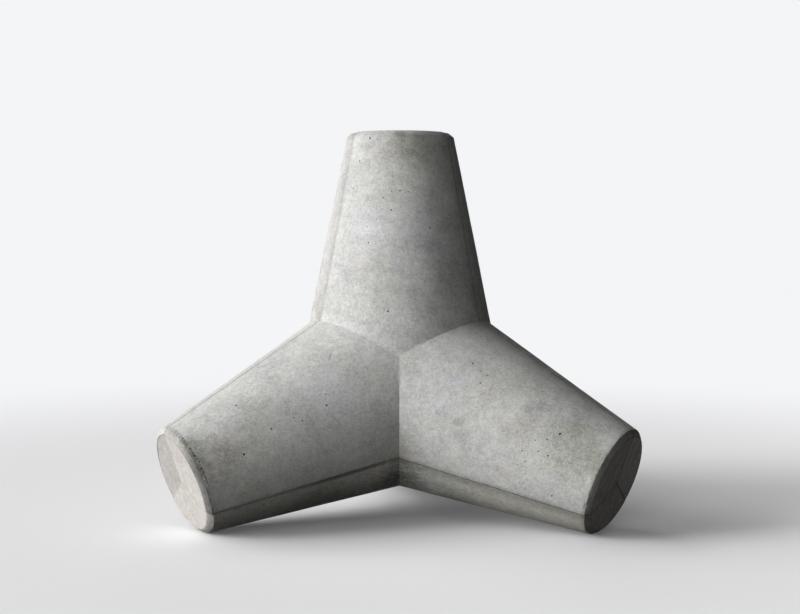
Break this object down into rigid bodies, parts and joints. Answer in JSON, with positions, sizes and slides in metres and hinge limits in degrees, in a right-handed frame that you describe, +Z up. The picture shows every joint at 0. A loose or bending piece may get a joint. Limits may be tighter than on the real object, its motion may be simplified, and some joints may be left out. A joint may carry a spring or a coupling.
{
  "type": "concrete tetrapod",
  "caption": "Cast concrete tetrapod: equal tapered legs pointing to the corners of a tetrahedron, standing on three of them with one upright.",
  "frame": {"origin": "on the floor, under the middle of the casting's bounding box; the upright leg's axis is 48.8 mm in front of it, at y = -0.0488", "axes": "+X to the right foot's side, along the longest extent; +Y towards the rear foot, so -Y is the front, between the left and right feet; +Z up, along the upright leg"},
  "size_m": [0.5108, 0.4566, 0.4209],
  "materials": {
    "concrete": "matt, as cast: cement grey with faint darker and warmer cloudy patches, small air holes and fine mould seams"
  },
  "bodies": {
    "root": {"tetrapod": "concrete"}
  },
  "joints": []
}
